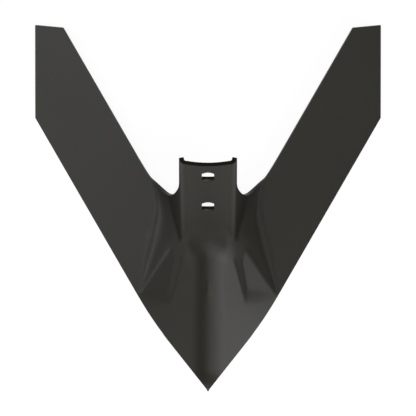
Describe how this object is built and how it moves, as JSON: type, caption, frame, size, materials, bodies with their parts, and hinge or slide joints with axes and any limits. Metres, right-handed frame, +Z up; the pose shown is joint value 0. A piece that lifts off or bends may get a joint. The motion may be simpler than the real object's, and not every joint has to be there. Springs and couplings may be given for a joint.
{
  "type": "cultivator sweep",
  "caption": "V-shaped soil-working blade formed from one plate, with a ridged point, swept wings and a leaning channel stem with countersunk bolt holes.",
  "frame": {"origin": "middle of the blade's plan box, on the ground plane that its cutting edges rest on", "axes": "+X to the right wing seen from above with the point towards the viewer, +Y rearward from the point to the wing ends, +Z up"},
  "size_m": [0.3556, 0.3766, 0.1792],
  "materials": {
    "coated_steel": "dark satin coating over formed steel"
  },
  "bodies": {
    "root": {"sweep": "coated_steel"}
  },
  "joints": []
}
